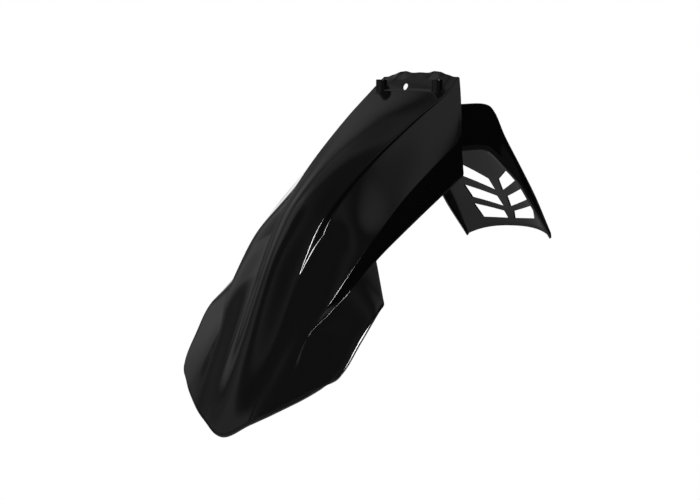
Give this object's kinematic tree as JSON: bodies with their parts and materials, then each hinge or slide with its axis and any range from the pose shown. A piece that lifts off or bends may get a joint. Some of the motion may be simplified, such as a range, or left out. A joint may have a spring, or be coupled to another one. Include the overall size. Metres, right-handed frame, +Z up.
{
  "type": "motorcycle front mudguard",
  "caption": "Front mudguard for an off-road motorcycle: one moulded shell with stepped shoulders, skirts, flared winglets, bolt bosses under the fork clamp and a slotted tail.",
  "frame": {"origin": "midway between the two front bolt holes, in the plane of the boss tops that meet the underside of the lower fork clamp", "axes": "+Z up along the fork and the bolts, -Y forward to the nose, +Y back to the tail, +X to the guard's own left"},
  "size_m": [0.2238, 0.5819, 0.3833],
  "materials": {
    "shell": "gloss black, moulded in colour"
  },
  "bodies": {
    "root": {"mudguard": "shell"}
  },
  "joints": []
}
